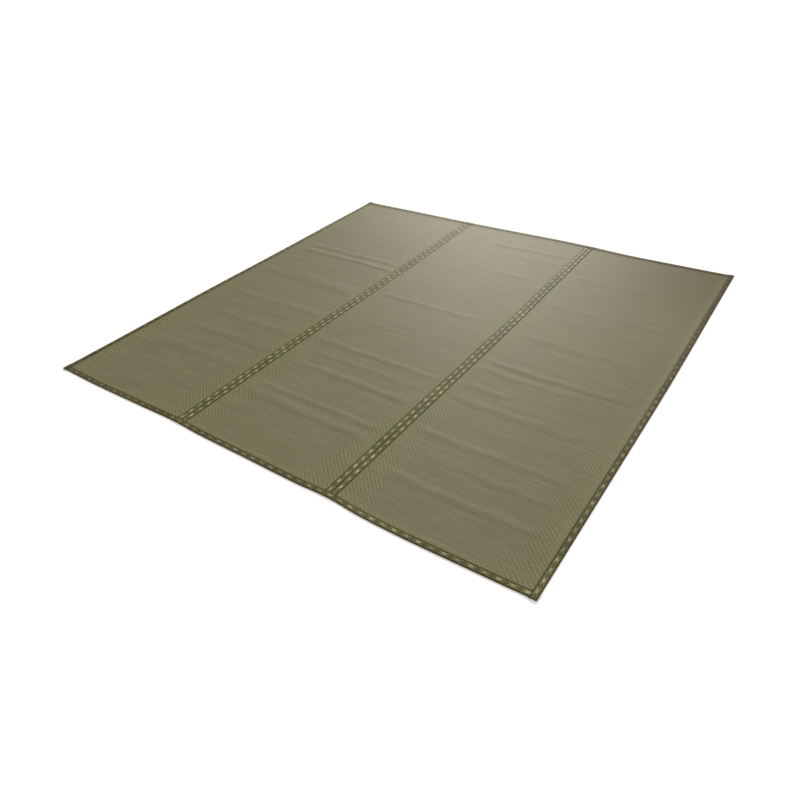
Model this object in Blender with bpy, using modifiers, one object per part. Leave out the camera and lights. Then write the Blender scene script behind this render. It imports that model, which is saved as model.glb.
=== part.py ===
"""A rush floor mat lying flat: woven panels side by side, taped over their seams and bound all round.

The mat is first laid out as a true square, with X across the panels and Y along them. Every point
then passes through settle(), which gives the sides and seams the slight bows of a mat in use.
"""
import math

import bmesh
import bpy

# Sizes in metres
MAT_SIDE = 2.61
PANELS = ("left", "middle", "right")
RUSH_THICK = 0.0020
TAPE_THICK = 0.0010
TAPE_WIDTH = 0.056
BINDING_SHOWS = 0.028
GAP = 0.0003
SEAM_GAP = 0.0008

# The fold of a binding round the mat's edge, and how far what lies in it stays back from its face
FOLD_DEPTH = 0.0023
FOLD_STEPS = 4
SETBACK = 0.0028

# One tape laid over another layer lifts it by LIFT, and the layer rises to it over a short slope
LIFT = TAPE_THICK + GAP
LEDGE = 0.0005
PANEL_SLOPE = 0.030
TAPE_SLOPE = 0.012

# The widest spacing of the points that draw the bows
ACROSS_STEP = 0.115
ALONG_STEP = 0.110
TAPE_STEP = 0.120

HALF = MAT_SIDE / 2
PANEL_WIDTH = MAT_SIDE / len(PANELS)
SEAMS = tuple(-HALF + PANEL_WIDTH * count for count in range(1, len(PANELS)))

RUSH_COLOUR = (0.31, 0.28, 0.18, 1.0)
RUSH_ROUGHNESS = 0.75
TAPE_COLOUR = (0.09, 0.09, 0.035, 1.0)
TAPE_ROUGHNESS = 0.85
SHARP_ANGLE = math.radians(40)

# How far a line of the mat strays from straight. place is along the line, and stray is outwards
# on a side or an end, and towards +X on a seam.
BOWS = {
    "front": (
        # place, stray
        (-1.305, 0.002),
        (-1.050, 0.005),
        (-0.700, -0.002),
        (-0.460, -0.008),
        (-0.300, -0.002),
        (0.000, -0.001),
        (0.280, 0.000),
        (0.440, -0.005),
        (0.600, 0.006),
        (0.780, 0.008),
        (1.030, 0.002),
        (1.305, -0.007),
    ),
    "back": (
        (-1.305, -0.006),
        (-0.840, -0.003),
        (-0.460, -0.005),
        (-0.090, 0.003),
        (0.240, 0.010),
        (0.470, 0.005),
        (0.700, -0.006),
        (1.000, -0.001),
        (1.305, 0.006),
    ),
    "left": (
        (-1.305, -0.003),
        (-0.840, -0.001),
        (-0.350, 0.004),
        (0.280, 0.000),
        (0.840, 0.003),
        (1.305, 0.002),
    ),
    "right": (
        (-1.305, -0.002),
        (-0.650, 0.000),
        (0.000, 0.002),
        (0.400, -0.001),
        (0.800, -0.006),
        (1.305, -0.011),
    ),
    "seam_left": (
        (-1.305, -0.001),
        (-0.560, -0.002),
        (0.000, 0.001),
        (0.300, 0.003),
        (0.850, 0.001),
        (1.305, -0.004),
    ),
    "seam_right": (
        (-1.305, -0.004),
        (-0.650, 0.000),
        (-0.100, 0.005),
        (0.300, 0.007),
        (0.700, 0.003),
        (1.305, 0.001),
    ),
}

# The soft ripples that run across a panel. crest is the ripple's place along the mat, begin and end
# are its ends across the mat, reach is half its width and rise is its height.
RIPPLES = {
    "left": (
        # crest, begin, end, reach, rise
        (0.497, -1.220, -0.468, 0.034, 0.0012),
        (0.420, -1.240, -0.466, 0.034, 0.0020),
        (0.285, -1.230, -0.750, 0.036, 0.0008),
        (0.080, -1.240, -0.475, 0.070, 0.0020),
        (-0.235, -1.200, -0.470, 0.045, 0.0014),
        (-0.350, -1.100, -0.620, 0.036, 0.0010),
        (-0.470, -1.100, -0.470, 0.040, 0.0015),
        (-0.648, -1.150, -0.468, 0.040, 0.0016),
        (-0.835, -1.200, -0.475, 0.055, 0.0022),
        (-1.030, -1.100, -0.475, 0.040, 0.0012),
    ),
    "middle": (
        (1.075, -0.180, 0.400, 0.036, 0.0018),
        (0.965, 0.000, 0.400, 0.036, 0.0010),
        (0.712, 0.050, 0.400, 0.036, 0.0010),
        (0.150, -0.390, 0.300, 0.036, 0.0010),
        (-0.422, -0.402, 0.402, 0.034, 0.0014),
        (-0.530, -0.350, 0.380, 0.034, 0.0012),
        (-0.648, -0.330, 0.402, 0.036, 0.0016),
        (-0.870, -0.403, 0.403, 0.030, 0.0015),
        (-0.948, -0.400, 0.390, 0.046, 0.0022),
    ),
    "right": (
        (0.868, 0.470, 0.950, 0.036, 0.0013),
        (0.505, 0.470, 1.180, 0.045, 0.0010),
        (0.130, 0.470, 1.220, 0.045, 0.0012),
        (-0.162, 0.466, 1.245, 0.034, 0.0018),
        (-0.232, 0.466, 1.050, 0.030, 0.0011),
        (-0.380, 0.466, 0.780, 0.034, 0.0014),
        (-0.492, 0.466, 1.200, 0.040, 0.0013),
        (-0.762, 0.466, 1.220, 0.034, 0.0014),
        (-0.893, 0.580, 1.240, 0.036, 0.0012),
        (-1.048, 0.520, 1.240, 0.036, 0.0019),
    ),
}
RIPPLE_FADE = 0.10
RIPPLE_ROWS = (-1.0, -0.5, 0.0, 0.5, 1.0)
LEAST_ROW_STEP = 0.008


def clear_scene():
    for thing in list(bpy.data.objects):
        bpy.data.objects.remove(thing, do_unlink=True)


def make_material(name, colour, roughness):
    material = bpy.data.materials.new(name)
    material.use_nodes = True
    shader = material.node_tree.nodes["Principled BSDF"]
    shader.inputs["Base Color"].default_value = colour
    shader.inputs["Roughness"].default_value = roughness
    shader.inputs["Metallic"].default_value = 0.0
    return material


def read_bow(rows, place):
    """The stray at a place, on a smooth curve through a bow's rows."""
    place = min(max(place, rows[0][0]), rows[-1][0])
    last = len(rows) - 2
    start = min(last, max(index for index, row in enumerate(rows[:-1]) if row[0] <= place))
    low, high = rows[start], rows[start + 1]
    before, after = rows[max(start - 1, 0)], rows[min(start + 2, last + 1)]
    span = high[0] - low[0]
    slope_low = (high[1] - before[1]) / (high[0] - before[0])
    slope_high = (after[1] - low[1]) / (after[0] - low[0])
    t = (place - low[0]) / span
    return (
        (2 * t**3 - 3 * t**2 + 1) * low[1]
        + (t**3 - 2 * t**2 + t) * span * slope_low
        + (3 * t**2 - 2 * t**3) * high[1]
        + (t**3 - t**2) * span * slope_high
    )


def bend(x, y):
    """Moves a point of the true square to its place on the bowed mat."""
    lines = (
        (-HALF, -read_bow(BOWS["left"], y)),
        (SEAMS[0], read_bow(BOWS["seam_left"], y)),
        (SEAMS[1], read_bow(BOWS["seam_right"], y)),
        (HALF, read_bow(BOWS["right"], y)),
    )
    panel = min(len(PANELS) - 1, max(0, int((x + HALF) / PANEL_WIDTH)))
    (low, stray_low), (high, stray_high) = lines[panel], lines[panel + 1]
    across = (x - low) / (high - low)
    along = (y + HALF) / MAT_SIDE
    front = -read_bow(BOWS["front"], x)
    back = read_bow(BOWS["back"], x)
    return (
        x + stray_low + (stray_high - stray_low) * across,
        y + front + (back - front) * along,
    )


def stations(marks, step):
    """The marks in order, with even steps put in wherever two of them are more than a step apart."""
    marks = sorted(marks)
    places = [marks[0]]
    for mark in marks[1:]:
        start = places[-1]
        count = max(1, math.ceil((mark - start) / step - 1e-6))
        places += [start + (mark - start) * (index + 1) / count for index in range(count)]
    return places


def thin_out(marks, least):
    """The marks in order, without those that crowd the one before."""
    kept = []
    for mark in sorted(marks):
        if not kept or mark - kept[-1] >= least:
            kept.append(mark)
    return kept


EDGE = HALF - SETBACK
BINDING_LEDGE = HALF - BINDING_SHOWS - LEDGE
SLOPE_FOOT = BINDING_LEDGE - PANEL_SLOPE
SEAM_LEDGE = TAPE_WIDTH / 2 + LEDGE
SEAM_FOOT = SEAM_LEDGE + TAPE_SLOPE


def across_places():
    """The places across the mat where its layers bend, shared by the panels and the end bindings."""
    marks = []
    for seam in SEAMS:
        marks += [seam - SEAM_FOOT, seam - SEAM_LEDGE, seam + SEAM_LEDGE, seam + SEAM_FOOT]
    marks += [-EDGE, -BINDING_LEDGE, -SLOPE_FOOT, SLOPE_FOOT, BINDING_LEDGE, EDGE]
    return stations(marks, ACROSS_STEP)


def outline_middle():
    """The middle of the box round the bowed outline, which becomes the part's origin."""
    along = stations([-HALF, -EDGE, EDGE, HALF], ALONG_STEP)
    points = [bend(side, place) for side in (-HALF, HALF) for place in along]
    points += [bend(place, end) for end in (-HALF, HALF) for place in across_places()]
    xs = [point[0] for point in points]
    ys = [point[1] for point in points]
    return (min(xs) + max(xs)) / 2, (min(ys) + max(ys)) / 2


MIDDLE = outline_middle()


def settle(x, y, z):
    """A point of the true square, put on the bowed mat with the part's origin under its middle."""
    bent_x, bent_y = bend(x, y)
    return bent_x - MIDDLE[0], bent_y - MIDDLE[1], z


def rise(distance, foot, top):
    """0 up to the foot of a slope and 1 from its top on."""
    return min(1.0, max(0.0, (distance - foot) / (top - foot)))


def side_rise(x):
    return rise(abs(x), SLOPE_FOOT, BINDING_LEDGE)


def end_rise(y):
    return rise(abs(y), SLOPE_FOOT, BINDING_LEDGE)


def seam_rise(x):
    nearest = min(abs(x - seam) for seam in SEAMS)
    return 1.0 - rise(nearest, SEAM_LEDGE, SEAM_FOOT)


def ripple_height(panel, x, y):
    """How far the ripples raise a panel off the floor."""
    height = 0.0
    for crest, begin, end, reach, top in RIPPLES[panel]:
        distance = abs(y - crest) / reach
        if distance >= 1.0 or not begin < x < end:
            continue
        fade = min(1.0, (x - begin) / RIPPLE_FADE, (end - x) / RIPPLE_FADE)
        height = max(height, top * fade * (0.5 + 0.5 * math.cos(math.pi * distance)))
    return height


def panel_floor(panel, x, y):
    """The underside of a panel: on the floor, up on the bindings' under legs, and over the ripples."""
    return LIFT * (side_rise(x) + end_rise(y)) + ripple_height(panel, x, y)


def make_cloth(name, across, along, place, thick, outward, material, collection):
    """A grid with a column for each value of across and a row for each value of along.

    place(a, b) gives each point, and outward says on which side of the grid the thickness lies.
    """
    mesh = bpy.data.meshes.new(name)
    grid = bmesh.new()
    columns, rows = len(across) - 1, len(along) - 1
    bmesh.ops.create_grid(grid, x_segments=columns, y_segments=rows, size=1.0)
    for vertex in grid.verts:
        column = round((vertex.co.x + 1.0) / 2.0 * columns)
        row = round((vertex.co.y + 1.0) / 2.0 * rows)
        vertex.co = place(across[column], along[row])
    grid.to_mesh(mesh)
    grid.free()
    mesh.materials.append(material)
    piece = bpy.data.objects.new(name, mesh)
    collection.objects.link(piece)
    solid = piece.modifiers.new("thickness", "SOLIDIFY")
    solid.thickness = thick
    solid.offset = outward
    solid.use_even_offset = True
    mesh.shade_smooth()
    mesh.set_sharp_from_angle(angle=SHARP_ANGLE)
    return piece


def make_panel(index, material, collection):
    """One woven rush panel, its long edges at the seams or inside a side binding."""
    panel = PANELS[index]
    low = -EDGE if index == 0 else SEAMS[index - 1] + SEAM_GAP / 2
    high = EDGE if index == len(PANELS) - 1 else SEAMS[index] - SEAM_GAP / 2
    across = [low] + [place for place in across_places() if low < place < high] + [high]
    folds = [-EDGE, -BINDING_LEDGE, -SLOPE_FOOT, SLOPE_FOOT, BINDING_LEDGE, EDGE]
    rows = [
        crest + reach * part
        for crest, _, _, reach, _ in RIPPLES[panel]
        for part in RIPPLE_ROWS
    ]
    along = stations(folds + thin_out(rows, LEAST_ROW_STEP), ALONG_STEP)

    def place(x, y):
        return settle(x, y, panel_floor(panel, x, y))

    return make_cloth(
        "rush_panel_" + panel, across, along, place, RUSH_THICK, 1.0, material, collection
    )


def make_seam_tape(index, material, collection):
    """The tape over a seam, lying on both panels and tucked under the end bindings."""
    seam = SEAMS[index]
    across = (seam - TAPE_WIDTH / 2, seam + TAPE_WIDTH / 2)
    folds = [-EDGE, -BINDING_LEDGE, -SLOPE_FOOT, SLOPE_FOOT, BINDING_LEDGE, EDGE]
    along = stations(folds, TAPE_STEP)

    def place(x, y):
        return settle(x, y, RUSH_THICK + GAP + LIFT * end_rise(y))

    name = "seam_tape_" + ("left", "right")[index]
    return make_cloth(name, across, along, place, TAPE_THICK, 1.0, material, collection)


def fold_section():
    """A binding's section from its under leg, round the fold, to its upper leg.

    Each point is the distance in from the mat's edge and the height, from 0 below to 1 above.
    """
    section = [(BINDING_SHOWS, 0.0)]
    for step in range(FOLD_STEPS + 1):
        angle = math.pi * step / FOLD_STEPS
        depth = FOLD_DEPTH * (1.0 - math.sin(angle))
        section.append((depth, 0.5 - 0.5 * math.cos(angle)))
    section.append((BINDING_SHOWS, 1.0))
    return section


def make_side_binding(side, sign, material, collection):
    """The tape folded round a side, running over both end bindings to the mat's corners."""
    folds = [-HALF, -BINDING_LEDGE, -SLOPE_FOOT, SLOPE_FOOT, BINDING_LEDGE, HALF]
    along = stations(folds, TAPE_STEP)
    layers = 2 * TAPE_THICK + RUSH_THICK + 2 * GAP

    def place(point, y):
        depth, part = point
        top = layers + 2 * LIFT * end_rise(y)
        return settle(sign * (HALF - depth), y, top * part)

    name = "side_binding_" + side
    return make_cloth(
        name, fold_section(), along, place, TAPE_THICK, sign, material, collection
    )


def make_end_binding(end, sign, material, collection):
    """The tape folded round an end, over the seam tapes and inside the side bindings."""
    across = across_places()
    layers = 2 * TAPE_THICK + RUSH_THICK + 2 * GAP

    def place(point, x):
        depth, part = point
        floor = LIFT * side_rise(x)
        top = floor + layers + LIFT * seam_rise(x)
        return settle(x, sign * (HALF - depth), floor + (top - floor) * part)

    name = "end_binding_" + end
    return make_cloth(
        name, fold_section(), across, place, TAPE_THICK, -sign, material, collection
    )


def main():
    clear_scene()
    collection = bpy.data.collections.new("tatami_mat")
    bpy.context.scene.collection.children.link(collection)
    rush = make_material("woven_rush", RUSH_COLOUR, RUSH_ROUGHNESS)
    tape = make_material("border_tape", TAPE_COLOUR, TAPE_ROUGHNESS)
    for index in range(len(PANELS)):
        make_panel(index, rush, collection)
    for index in range(len(SEAMS)):
        make_seam_tape(index, tape, collection)
    for side, sign in (("left", -1.0), ("right", 1.0)):
        make_side_binding(side, sign, tape, collection)
    for end, sign in (("front", -1.0), ("back", 1.0)):
        make_end_binding(end, sign, tape, collection)


main()
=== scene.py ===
# %% [markdown]
# # A rush floor mat, taped over its seams and bound all round
# Three widths of woven rush lie side by side on a pale floor. Patterned tape is sewn flat over the two
# seams and folded round the four edges. The imported model gives the place and size of every piece, so it
# is loaded first.

# %% Load the frame
import math

import bpy
import numpy as np
from mathutils import Euler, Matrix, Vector


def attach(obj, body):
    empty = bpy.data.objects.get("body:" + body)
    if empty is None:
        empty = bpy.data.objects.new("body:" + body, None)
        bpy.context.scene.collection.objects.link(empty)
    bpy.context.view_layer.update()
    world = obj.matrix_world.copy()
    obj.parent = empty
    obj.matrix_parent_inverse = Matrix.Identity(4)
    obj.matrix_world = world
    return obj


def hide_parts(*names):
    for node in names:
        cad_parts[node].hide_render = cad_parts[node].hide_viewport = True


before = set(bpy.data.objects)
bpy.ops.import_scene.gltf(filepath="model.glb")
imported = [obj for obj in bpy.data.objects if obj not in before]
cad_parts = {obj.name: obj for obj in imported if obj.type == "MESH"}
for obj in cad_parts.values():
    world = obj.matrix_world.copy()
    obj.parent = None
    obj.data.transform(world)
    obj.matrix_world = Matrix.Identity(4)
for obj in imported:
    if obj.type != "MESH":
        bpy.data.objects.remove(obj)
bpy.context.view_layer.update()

print("nodes in the frame:", ", ".join(sorted(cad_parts)))

# %% [markdown]
# ## Sizes
# The mat is laid out as a true square, with X across the widths and Y along them, as it would be cut.
# The sizes are those a maker would cut to: three widths of 87 cm, cloth 2 mm thick and tape 56 mm wide.

# %% Sizes of the mat, in metres
MAT_SIDE = 2.61
PANELS = ("left", "middle", "right")
SIDES = ("left", "right")
RUSH_THICK = 0.0020
TAPE_THICK = 0.0010
TAPE_WIDTH = 0.056
BINDING_SHOWS = 0.028
GAP = 0.0003
SEAM_GAP = 0.0008
FOLD_DEPTH = 0.0023
SETBACK = 0.0028
LIFT = TAPE_THICK + GAP
LEDGE = 0.0005
PANEL_SLOPE = 0.030
TAPE_SLOPE = 0.012

HALF = MAT_SIDE / 2
PANEL_WIDTH = MAT_SIDE / len(PANELS)
SEAMS = tuple(-HALF + PANEL_WIDTH * count for count in range(1, len(PANELS)))
EDGE = HALF - SETBACK
BINDING_LEDGE = HALF - BINDING_SHOWS - LEDGE
SLOPE_FOOT = BINDING_LEDGE - PANEL_SLOPE
SEAM_LEDGE = TAPE_WIDTH / 2 + LEDGE
SEAM_FOOT = SEAM_LEDGE + TAPE_SLOPE
print("seams at", [round(seam, 3) for seam in SEAMS], "and edges at", HALF)

# %% [markdown]
# ## The bows of the sides and seams
# A mat in use is never quite square: each side and seam wanders by a few millimetres. A short table for
# each line gives how far it strays from straight, and a smooth curve through the rows fills the rest.
# Every piece is bent by the same function, so tapes, panels and stitches stay together.

# %% Bows, and the function that bends the square
BOWS = {
    # place along the line, stray in metres (outwards on a side or an end, towards +X on a seam)
    "front": ((-1.305, 0.002), (-1.050, 0.005), (-0.700, -0.002), (-0.460, -0.008), (-0.300, -0.002),
              (0.000, -0.001), (0.280, 0.000), (0.440, -0.005), (0.600, 0.006), (0.780, 0.008),
              (1.030, 0.002), (1.305, -0.007)),
    "back": ((-1.305, -0.006), (-0.840, -0.003), (-0.460, -0.005), (-0.090, 0.003), (0.240, 0.010),
             (0.470, 0.005), (0.700, -0.006), (1.000, -0.001), (1.305, 0.006)),
    "left": ((-1.305, -0.003), (-0.840, -0.001), (-0.350, 0.004), (0.280, 0.000), (0.840, 0.003),
             (1.305, 0.002)),
    "right": ((-1.305, -0.002), (-0.650, 0.000), (0.000, 0.002), (0.400, -0.001), (0.800, -0.006),
              (1.305, -0.011)),
    "seam_left": ((-1.305, -0.001), (-0.560, -0.002), (0.000, 0.001), (0.300, 0.003), (0.850, 0.001),
                  (1.305, -0.004)),
    "seam_right": ((-1.305, -0.004), (-0.650, 0.000), (-0.100, 0.005), (0.300, 0.007), (0.700, 0.003),
                   (1.305, 0.001)),
}


def read_bow(line, place):
    """The stray of a line at each place, on a smooth curve through its rows."""
    knots, strays = np.array(BOWS[line]).T
    index = np.arange(len(knots))
    before, after = np.maximum(index - 1, 0), np.minimum(index + 1, len(knots) - 1)
    slopes = (strays[after] - strays[before]) / (knots[after] - knots[before])
    place = np.clip(place, knots[0], knots[-1])
    low = np.clip(np.searchsorted(knots, place, side="right") - 1, 0, len(knots) - 2)
    high = low + 1
    span = knots[high] - knots[low]
    t = (place - knots[low]) / span
    return (
        (2 * t**3 - 3 * t**2 + 1) * strays[low]
        + (t**3 - 2 * t**2 + t) * span * slopes[low]
        + (3 * t**2 - 2 * t**3) * strays[high]
        + (t**3 - t**2) * span * slopes[high]
    )


def bend(x, y):
    """Moves points of the true square to their places on the bowed mat."""
    lines = np.array([-HALF, *SEAMS, HALF])
    strays = np.stack([
        -read_bow("left", y), read_bow("seam_left", y), read_bow("seam_right", y), read_bow("right", y)
    ])
    panel = np.clip(((x + HALF) / PANEL_WIDTH).astype(int), 0, len(PANELS) - 1)
    stray_low = np.take_along_axis(strays, panel[None], axis=0)[0]
    stray_high = np.take_along_axis(strays, panel[None] + 1, axis=0)[0]
    across = (x - lines[panel]) / PANEL_WIDTH
    along = (y + HALF) / MAT_SIDE
    front, back = -read_bow("front", x), read_bow("back", x)
    return x + stray_low + (stray_high - stray_low) * across, y + front + (back - front) * along


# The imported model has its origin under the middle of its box, so the bent square is moved there too.
ring = np.linspace(-HALF, HALF, 1001)
corner = np.full_like(ring, HALF)
outline = np.concatenate(
    [bend(-corner, ring), bend(corner, ring), bend(ring, -corner), bend(ring, corner)], axis=1
)
MIDDLE = (outline.min(axis=1) + outline.max(axis=1)) / 2


def settle(x, y, z):
    """Points of the true square, put on the bowed mat in the frame's own place, as an array of XYZ."""
    x, y, z = np.broadcast_arrays(x, y, z)
    bent_x, bent_y = bend(x, y)
    return np.stack([bent_x - MIDDLE[0], bent_y - MIDDLE[1], z], axis=-1)


print("the bowed mat is %.3f by %.3f m" % tuple(outline.max(axis=1) - outline.min(axis=1)))

# %% [markdown]
# ## Camera
# The photograph looks down on the near corner from about standing height. Its place, lens and slight roll
# come from the mat's four sides and two seams, whose real sizes are known. It comes first, so that
# every piece can be judged in the photograph's own view.

# %% Camera
CAMERA_PLACE = (1.7556, -2.5557, 1.7827)
CAMERA_TURN = (53.213, 2.8805, 34.7649)
CAMERA_LENS = 29.58
SENSOR_WIDTH = 36.0


def link(thing):
    bpy.context.scene.collection.objects.link(thing)
    return thing


camera = link(bpy.data.objects.new("camera", bpy.data.cameras.new("camera")))
camera.location = CAMERA_PLACE
camera.rotation_euler = Euler([math.radians(angle) for angle in CAMERA_TURN], "XYZ")
camera.data.lens = CAMERA_LENS
camera.data.sensor_width = SENSOR_WIDTH
bpy.context.scene.camera = camera
print("camera stands", round(CAMERA_PLACE[2], 2), "m above the floor")

# %% [markdown]
# ## Node helpers
# Materials and Geometry Nodes are both trees of nodes. Short helpers keep them readable: put() adds a
# node and fills its inputs with numbers or with links, and calc() does the same for a math node. The
# others hold what several trees share.

# %% Node helpers


def put(tree, kind, inputs=None, **settings):
    """Adds a node to a tree. inputs maps a socket's name or number to a value or another socket."""
    made = tree.nodes.new(kind)
    for key, value in settings.items():
        setattr(made, key, value)
    for key, value in (inputs or {}).items():
        if isinstance(value, bpy.types.NodeSocket):
            tree.links.new(value, made.inputs[key])
        else:
            made.inputs[key].default_value = value
    return made


def calc(tree, operation, *values):
    """A math node's result, from numbers or sockets."""
    return put(tree, "ShaderNodeMath", dict(enumerate(values)), operation=operation).outputs[0]


def blend_colours(tree, amount, first, second, mode="MIX"):
    """A colour between two others; amount 0 gives the first."""
    inputs = {"Factor": amount}
    for number, part in ((6, first), (7, second)):
        inputs[number] = part if isinstance(part, bpy.types.NodeSocket) else (*part, 1.0)
    return put(tree, "ShaderNodeMix", inputs, data_type="RGBA", blend_type=mode).outputs[2]


def ramp(tree, value, low, high, start=0.0, end=1.0):
    """Maps a value from low..high to start..end, smoothly, and holds it outside."""
    inputs = {"Value": value, "From Min": low, "From Max": high, "To Min": start, "To Max": end}
    return put(tree, "ShaderNodeMapRange", inputs, interpolation_type="SMOOTHSTEP").outputs[0]


def new_material(name, roughness, ior=1.5):
    """A material with its tree and shader. Numbers that are the same all over sit on the shader."""
    material = bpy.data.materials.new(name)
    material.use_nodes = True
    tree = material.node_tree
    shader = tree.nodes["Principled BSDF"]
    shader.inputs["Roughness"].default_value = roughness
    shader.inputs["IOR"].default_value = ior
    return material, tree, shader


def soft_noise(tree, places, scale, detail):
    """Noise from 0 to 1, read at some places."""
    inputs = {"Vector": places, "Scale": scale, "Detail": detail}
    return put(tree, "ShaderNodeTexNoise", inputs).outputs[0]


def shaded(tree, colour, shade):
    """A colour multiplied by one number."""
    grey = put(tree, "ShaderNodeCombineXYZ", {"X": shade, "Y": shade, "Z": shade}).outputs[0]
    return blend_colours(tree, 1.0, colour, grey, "MULTIPLY")


def dress(tree, shader, colour, height, bump):
    """Gives a shader its colour, and a bump from a height. bump holds its strength and metres."""
    inputs = {"Strength": bump[0], "Distance": bump[1], "Height": height}
    tree.links.new(put(tree, "ShaderNodeBump", inputs).outputs[0], shader.inputs["Normal"])
    tree.links.new(colour, shader.inputs["Base Color"])


print("node helpers ready")

# %% [markdown]
# ## The rush cloth's shape
# A loom packs rush stalks tightly over cotton warps. Five stalks at a time rise over one rib and dip under
# the next, so the cloth is a chequer of small raised and lowered blocks, about 11 by 10.5 mm. The blocks
# follow a rule, so Geometry Nodes raise them. The ripples follow no rule: a rolled mat keeps soft folds
# where the roll was pressed, so these are placed one by one from the photograph, each as one row of a
# table.

# %% Ripples of each panel, in metres
RIPPLES = {
    # crest along the mat, begin and end across it, reach (half its width), rise
    "left": (
        (0.497, -1.220, -0.468, 0.034, 0.0012),
        (0.420, -1.240, -0.466, 0.034, 0.0020),
        (0.285, -1.230, -0.750, 0.036, 0.0008),
        (0.080, -1.240, -0.475, 0.070, 0.0020),
        (-0.235, -1.200, -0.470, 0.045, 0.0014),
        (-0.350, -1.100, -0.620, 0.036, 0.0010),
        (-0.470, -1.100, -0.470, 0.040, 0.0015),
        (-0.648, -1.150, -0.468, 0.040, 0.0016),
        (-0.835, -1.200, -0.475, 0.055, 0.0022),
        (-1.030, -1.100, -0.475, 0.040, 0.0012),
    ),
    "middle": (
        (1.075, -0.180, 0.400, 0.036, 0.0018),
        (0.965, 0.000, 0.400, 0.036, 0.0010),
        (0.712, 0.050, 0.400, 0.036, 0.0010),
        (0.150, -0.390, 0.300, 0.036, 0.0010),
        (-0.422, -0.402, 0.402, 0.034, 0.0014),
        (-0.530, -0.350, 0.380, 0.034, 0.0012),
        (-0.648, -0.330, 0.402, 0.036, 0.0016),
        (-0.870, -0.403, 0.403, 0.030, 0.0015),
        (-0.948, -0.400, 0.390, 0.046, 0.0022),
    ),
    "right": (
        (0.868, 0.470, 0.950, 0.036, 0.0013),
        (0.505, 0.470, 1.180, 0.045, 0.0010),
        (0.130, 0.470, 1.220, 0.045, 0.0012),
        (-0.162, 0.466, 1.245, 0.034, 0.0018),
        (-0.232, 0.466, 1.050, 0.030, 0.0011),
        (-0.380, 0.466, 0.780, 0.034, 0.0014),
        (-0.492, 0.466, 1.200, 0.040, 0.0013),
        (-0.762, 0.466, 1.220, 0.034, 0.0014),
        (-0.893, 0.580, 1.240, 0.036, 0.0012),
        (-1.048, 0.520, 1.240, 0.036, 0.0019),
    ),
}
RIPPLE_FADE = 0.10
CREST_WANDER = 0.003
WANDER_LENGTH = 0.21

FAINT_RIPPLES = 90
FAINT_SPREAD = 0.42
FAINT_HALF_LENGTH = (0.07, 0.30)
FAINT_REACH = (0.012, 0.024)
FAINT_RISE = (0.00008, 0.00035)
FAINT_SEED = 7


def smooth(t):
    """An even S-shaped step from 0 to 1."""
    t = np.clip(t, 0.0, 1.0)
    return t * t * (3 - 2 * t)


def ripple_height(panel, x, y):
    """How far the ripples placed one by one raise a panel off the floor."""
    height = np.zeros(np.broadcast(x, y).shape)
    for crest, begin, end, reach, top in RIPPLES[panel]:
        line = crest + CREST_WANDER * np.sin(2 * np.pi * x / WANDER_LENGTH + 40 * crest)
        distance = np.clip(np.abs(y - line) / reach, 0.0, 1.0)
        fade = smooth((x - begin) / RIPPLE_FADE) * smooth((end - x) / RIPPLE_FADE)
        height = np.maximum(height, top * fade * (0.5 + 0.5 * np.cos(np.pi * distance)))
    return height


def faint_ripples(index, x, y):
    """Fine unevenness along the stalks, drawn from a fixed seed."""
    draw = np.random.default_rng(FAINT_SEED + index)
    middle = -HALF + PANEL_WIDTH * (index + 0.5)
    height = np.zeros(np.broadcast(x, y).shape)
    for _ in range(FAINT_RIPPLES):
        centre = middle + draw.uniform(-FAINT_SPREAD, FAINT_SPREAD)
        crest = draw.uniform(-HALF, HALF)
        half_length, reach = draw.uniform(*FAINT_HALF_LENGTH), draw.uniform(*FAINT_REACH)
        rise = draw.uniform(*FAINT_RISE)
        along = np.clip(np.abs(x - centre) / half_length, 0.0, 1.0)
        over = np.clip(np.abs(y - crest) / reach, 0.0, 1.0)
        height += rise * (0.5 + 0.5 * np.cos(np.pi * along)) * (0.5 + 0.5 * np.cos(np.pi * over))
    return height


print({panel: len(rows) for panel, rows in RIPPLES.items()}, "ripples by hand")

# %% [markdown]
# ## How the layers climb over each other
# Rush lies on the under legs of the bindings at its edges, the seam tapes lie on the rush, and the
# bindings close over everything. Each layer's height is a sum of the same three slopes, so wherever they
# cross, the layers stay the same small distance apart.

# %% Slopes shared by all layers


def climb(distance, foot, top):
    return smooth((distance - foot) / (top - foot))


def side_rise(x):
    return climb(np.abs(x), SLOPE_FOOT, BINDING_LEDGE)


def end_rise(y):
    return climb(np.abs(y), SLOPE_FOOT, BINDING_LEDGE)


def seam_rise(x):
    nearest = np.minimum(np.abs(x - SEAMS[0]), np.abs(x - SEAMS[1]))
    return 1.0 - climb(nearest, SEAM_LEDGE, SEAM_FOOT)


PRESSED = 0.004
TAUT_REACH = 0.02
SLACK_REACH = 0.22


def openness(x, y):
    """0 where a tape presses the rush flat, 1 just beside a long tape, 2 well inside a panel."""
    to_seam = np.minimum(np.abs(x - SEAMS[0]), np.abs(x - SEAMS[1])) - TAPE_WIDTH / 2
    to_side = HALF - BINDING_SHOWS - np.abs(x)
    to_end = HALF - BINDING_SHOWS - np.abs(y)
    to_long_tape = np.minimum(to_seam, to_side)
    free = smooth(to_long_tape / PRESSED) * smooth(to_end / PRESSED)
    return free * (1.0 + smooth((to_long_tape - TAUT_REACH) / (SLACK_REACH - TAUT_REACH)))


print("a layer on a tape is lifted by", round(LIFT * 1000, 2), "mm")

# %% [markdown]
# ## One panel's sheet before weaving
# The sheet is a closed thin body. Its upper face has two columns for each rib and two rows for each
# block, so the weave can be raised in it, and its underside, which nobody sees, has far fewer faces.
# Each point carries an attribute, cloth, that counts ribs across and blocks along, and says how openly
# the rush lies there. The Geometry Nodes tree and the material both read it, so shape and colour
# can't drift apart.

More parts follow.
